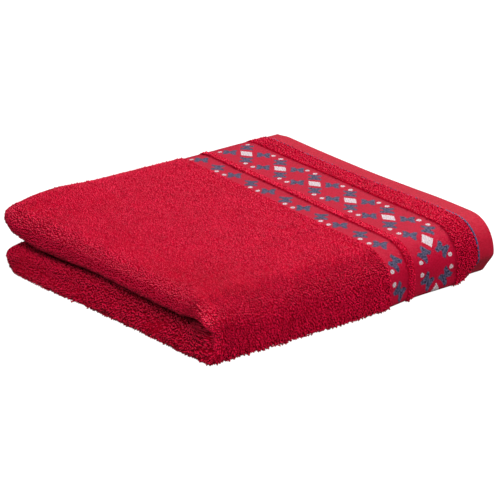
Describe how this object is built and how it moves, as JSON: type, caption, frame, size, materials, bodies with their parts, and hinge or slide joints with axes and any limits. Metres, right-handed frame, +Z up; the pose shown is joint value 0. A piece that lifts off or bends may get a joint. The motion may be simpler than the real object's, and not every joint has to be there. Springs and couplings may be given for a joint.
{
  "type": "folded bath towel",
  "caption": "Red terry bath towel folded flat, with a flat-woven border of small geometric motifs near its hem, for drying the body or for stacking on a shelf.",
  "frame": {"origin": "under the middle of the folded towel, on the surface it rests on", "axes": "+X along the towel's length from the crosswise folds to the hems, +Y from the lengthwise fold to the open side, +Z up"},
  "size_m": [0.3758, 0.3582, 0.0622],
  "materials": {
    "terry_cloth": "matte terry pile"
  },
  "bodies": {
    "root": {"towel": "terry_cloth"}
  },
  "joints": []
}
